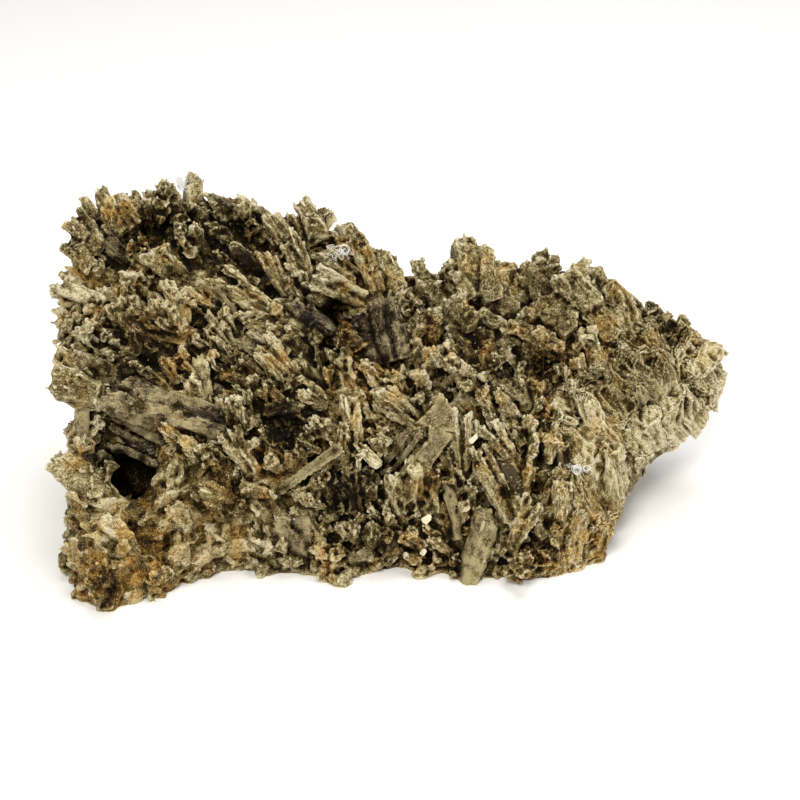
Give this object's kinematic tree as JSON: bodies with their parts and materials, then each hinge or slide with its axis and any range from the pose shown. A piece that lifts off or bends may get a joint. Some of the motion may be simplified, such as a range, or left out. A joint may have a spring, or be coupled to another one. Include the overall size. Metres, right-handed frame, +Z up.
{
  "type": "epidote crystal cluster",
  "caption": "Slab of rock overgrown with leaning bladed epidote crystals, tall at one end, with wisps of white fibre caught in it; rests on its flat underside.",
  "frame": {"origin": "under the middle of the cluster's box, on the flat underside that it rests on", "axes": "+Z up from the rest; +X along the slab from its tall end to its narrow end; -Y towards the broken front that the picture shows"},
  "size_m": [0.1648, 0.086, 0.0769],
  "materials": {
    "epidote": "khaki, crusted and rough, with dark glassy faces",
    "fibre": "matt white wisps"
  },
  "bodies": {
    "root": {"epidote_cluster": "epidote", "fibre_tuft_crest": "fibre", "fibre_tuft_top": "fibre", "fibre_tuft_side": "fibre"}
  },
  "joints": []
}
